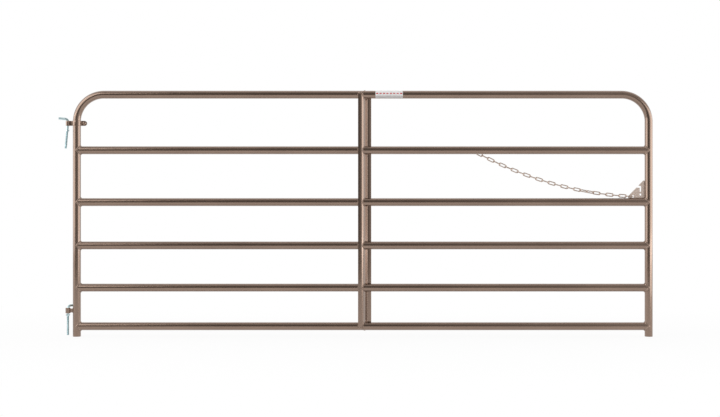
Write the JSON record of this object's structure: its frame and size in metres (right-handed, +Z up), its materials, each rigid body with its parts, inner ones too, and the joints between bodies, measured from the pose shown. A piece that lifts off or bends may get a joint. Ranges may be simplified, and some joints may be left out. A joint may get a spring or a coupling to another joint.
{
  "type": "field gate",
  "caption": "Tubular steel field gate with coped rails, folded centre brace, clamp-on and welded hinge eyes, loose hinge hooks and a chain latch.",
  "frame": {"origin": "on the hinge line, level with the feet of the uprights", "axes": "+X along the leaf from the hinge line to the latch upright, +Z up, -Y to the front where the label is"},
  "size_m": [3.0707, 0.0635, 1.27],
  "materials": {
    "brown_paint": "glossy brown metallic enamel over tube and sheet",
    "bright_zinc": "bright zinc plate",
    "chain_zinc": "plain zinc-plated wire, a little dull",
    "label_vinyl": "white vinyl sticker with one plain broken red line and no words"
  },
  "bodies": {
    "gate_frame": {"frame_hoop": "brown_paint", "rail_2": "brown_paint", "rail_3": "brown_paint", "rail_4": "brown_paint", "rail_5": "brown_paint", "bottom_rail": "brown_paint", "centre_brace": "brown_paint", "latch_plate": "brown_paint", "chain_keeper": "brown_paint", "label": "label_vinyl", "lower_hinge_eye": "brown_paint", "lower_hinge_neck": "brown_paint"},
    "upper_hinge": {"upper_hinge_strap": "brown_paint", "clamp_bolt": "brown_paint", "clamp_washer": "brown_paint", "clamp_nut": "brown_paint"},
    "upper_hinge_hook": {"upper_hook": "bright_zinc", "upper_hook_nut": "bright_zinc"},
    "lower_hinge_hook": {"lower_hook": "bright_zinc", "lower_hook_nut": "bright_zinc"},
    "latch_chain": {"chain_link_01": "chain_zinc", "chain_link_02": "chain_zinc", "chain_link_03": "chain_zinc", "chain_link_04": "chain_zinc", "chain_link_05": "chain_zinc", "chain_link_06": "chain_zinc", "chain_link_07": "chain_zinc", "chain_link_08": "chain_zinc", "chain_link_09": "chain_zinc", "chain_link_10": "chain_zinc", "chain_link_11": "chain_zinc", "chain_link_12": "chain_zinc", "chain_link_13": "chain_zinc", "chain_link_14": "chain_zinc", "chain_link_15": "chain_zinc", "chain_link_16": "chain_zinc", "chain_link_17": "chain_zinc", "chain_link_18": "chain_zinc", "chain_link_19": "chain_zinc", "chain_link_20": "chain_zinc", "chain_link_21": "chain_zinc", "chain_link_22": "chain_zinc", "chain_link_23": "chain_zinc", "chain_link_24": "chain_zinc", "chain_link_25": "chain_zinc"}
  },
  "joints": [
    {"name": "upper_hinge_slide", "type": "slide", "parent": "gate_frame", "child": "upper_hinge", "axis": [0, 0, 1], "range_m": [-0.091, 0]},
    {"name": "upper_hook_turn", "type": "hinge", "parent": "upper_hinge", "child": "upper_hinge_hook", "pos_m": [0, 0, 1.101], "axis": [0, 0, 1], "range_deg": [-140, 140]},
    {"name": "lower_hook_turn", "type": "hinge", "parent": "gate_frame", "child": "lower_hinge_hook", "pos_m": [0, 0, 0.134], "axis": [0, 0, 1], "range_deg": [-5, 277]},
    {"name": "chain_swing", "type": "hinge", "parent": "gate_frame", "child": "latch_chain", "pos_m": [2.11361, 0.02815, 0.952], "axis": [0.9613, -0.0337, -0.2734], "range_deg": [-24, 12]}
  ]
}
